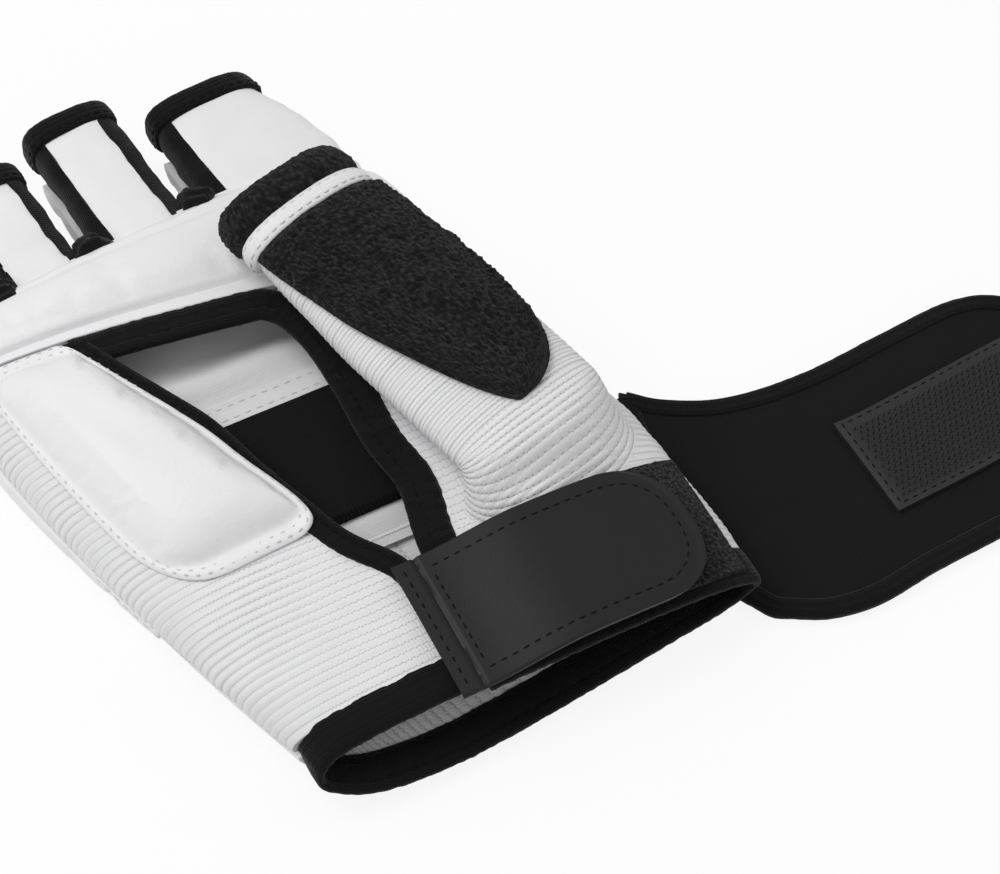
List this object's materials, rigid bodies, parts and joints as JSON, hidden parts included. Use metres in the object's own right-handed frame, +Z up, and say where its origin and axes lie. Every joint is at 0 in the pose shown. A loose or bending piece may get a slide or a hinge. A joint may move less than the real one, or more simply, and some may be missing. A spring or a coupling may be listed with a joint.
{
  "type": "open-palm padded sparring glove",
  "caption": "Padded half-finger glove lying palm up, with a tear-drop palm opening, terry-patched thumb, closing tab and unfolded wrist strap.",
  "frame": {"origin": "on the surface that the glove lies on, under the wrist opening close to its hem, a few millimetres to the little-finger side of its middle", "axes": "+X towards the thumb side and along the unfolded strap, +Y towards the fingers, +Z up out of the palm"},
  "size_m": [0.2283, 0.1897, 0.042],
  "materials": {
    "white_leather": "smooth white coated leathercloth with a slight sheen",
    "white_knit": "white ribbed stretch knit",
    "white_lining": "soft white lining cloth",
    "grey_foam": "closed-cell foam, out of sight",
    "black_leather": "smooth black coated leathercloth, satin",
    "black_knit": "black stretch binding and knit",
    "black_terry": "black terry towelling",
    "black_velvet": "black brushed laminate",
    "hook_and_loop": "black hook-and-loop tape"
  },
  "bodies": {
    "hand": {"back_pad_cover": "white_leather", "back_pad_foam": "grey_foam", "back_lining": "white_lining", "lining_panel": "black_knit", "lining_tape": "white_knit", "side_pad_cover": "white_leather", "side_pad_foam": "grey_foam", "palm_bridge": "white_leather", "cuff_back": "white_knit", "ulnar_panel": "white_knit", "thumb_side_panel": "white_knit", "opening_binding_top": "black_knit", "opening_binding_thumb": "black_knit", "opening_binding_ulnar": "black_knit", "hem_binding_back": "black_knit", "hem_binding_ulnar": "black_knit", "hem_binding_thumb": "black_knit", "loop_patch": "hook_and_loop", "thumb_gusset": "white_knit", "crotch_web_index_middle": "black_knit", "crotch_web_middle_ring": "black_knit", "crotch_web_ring_little": "black_knit", "tab_anchor": "black_leather", "strap_anchor": "black_velvet"},
    "index_finger": {"index_palm_fabric": "white_leather", "index_back_fabric": "white_lining", "index_fourchette_little_side": "black_knit", "index_tip_binding": "black_knit", "index_pad_cover": "white_leather", "index_pad_foam": "grey_foam"},
    "middle_finger": {"middle_palm_fabric": "white_leather", "middle_back_fabric": "white_lining", "middle_fourchette_thumb_side": "black_knit", "middle_fourchette_little_side": "black_knit", "middle_tip_binding": "black_knit", "middle_pad_cover": "white_leather", "middle_pad_foam": "grey_foam"},
    "ring_finger": {"ring_palm_fabric": "white_leather", "ring_back_fabric": "white_lining", "ring_fourchette_thumb_side": "black_knit", "ring_fourchette_little_side": "black_knit", "ring_tip_binding": "black_knit", "ring_pad_cover": "white_leather", "ring_pad_foam": "grey_foam"},
    "little_finger": {"little_palm_fabric": "white_leather", "little_back_fabric": "white_lining", "little_fourchette_thumb_side": "black_knit", "little_tip_binding": "black_knit", "little_pad_cover": "white_leather", "little_pad_foam": "grey_foam"},
    "thumb": {"thumb_stall": "white_knit", "thumb_terry_patch": "black_terry", "thumb_tape": "white_knit", "thumb_tip_band": "black_terry"},
    "closing_tab": {"tab_cover": "black_leather", "tab_hook": "hook_and_loop"},
    "strap_near_part": {"strap_near": "black_velvet"},
    "strap_far_part": {"strap_far": "black_velvet", "strap_hook": "hook_and_loop"}
  },
  "joints": [
    {"name": "index_curl", "type": "hinge", "parent": "hand", "child": "index_finger", "pos_m": [0.01156, 0.13956, 0.0215], "axis": [0.9968, 0.0797, 0], "range_deg": [0, 80]},
    {"name": "middle_curl", "type": "hinge", "parent": "hand", "child": "middle_finger", "pos_m": [-0.02084, 0.13697, 0.0215], "axis": [0.9968, 0.0797, 0], "range_deg": [0, 80]},
    {"name": "ring_curl", "type": "hinge", "parent": "hand", "child": "ring_finger", "pos_m": [-0.04551, 0.135, 0.0215], "axis": [0.9968, 0.0797, 0], "range_deg": [0, 80]},
    {"name": "little_curl", "type": "hinge", "parent": "hand", "child": "little_finger", "pos_m": [-0.06789, 0.13321, 0.0215], "axis": [0.9968, 0.0797, 0], "range_deg": [0, 80]},
    {"name": "thumb_lift", "type": "hinge", "parent": "hand", "child": "thumb", "pos_m": [0.024, 0.046, 0.0355], "axis": [0.9659, 0.2588, 0], "range_deg": [0, 60]},
    {"name": "tab_open", "type": "hinge", "parent": "hand", "child": "closing_tab", "pos_m": [-0.01, 0.01425, 0.02221], "axis": [0, -0.9922, -0.1247], "range_deg": [0, 165]},
    {"name": "strap_fold", "type": "hinge", "parent": "hand", "child": "strap_near_part", "pos_m": [0.0565, 0.02786, 0.0024], "axis": [0, -1, 0], "range_deg": [0, 90]},
    {"name": "strap_end_fold", "type": "hinge", "parent": "strap_near_part", "child": "strap_far_part", "pos_m": [0.086, 0.02786, 0.0024], "axis": [0, -1, 0], "range_deg": [0, 60]}
  ]
}
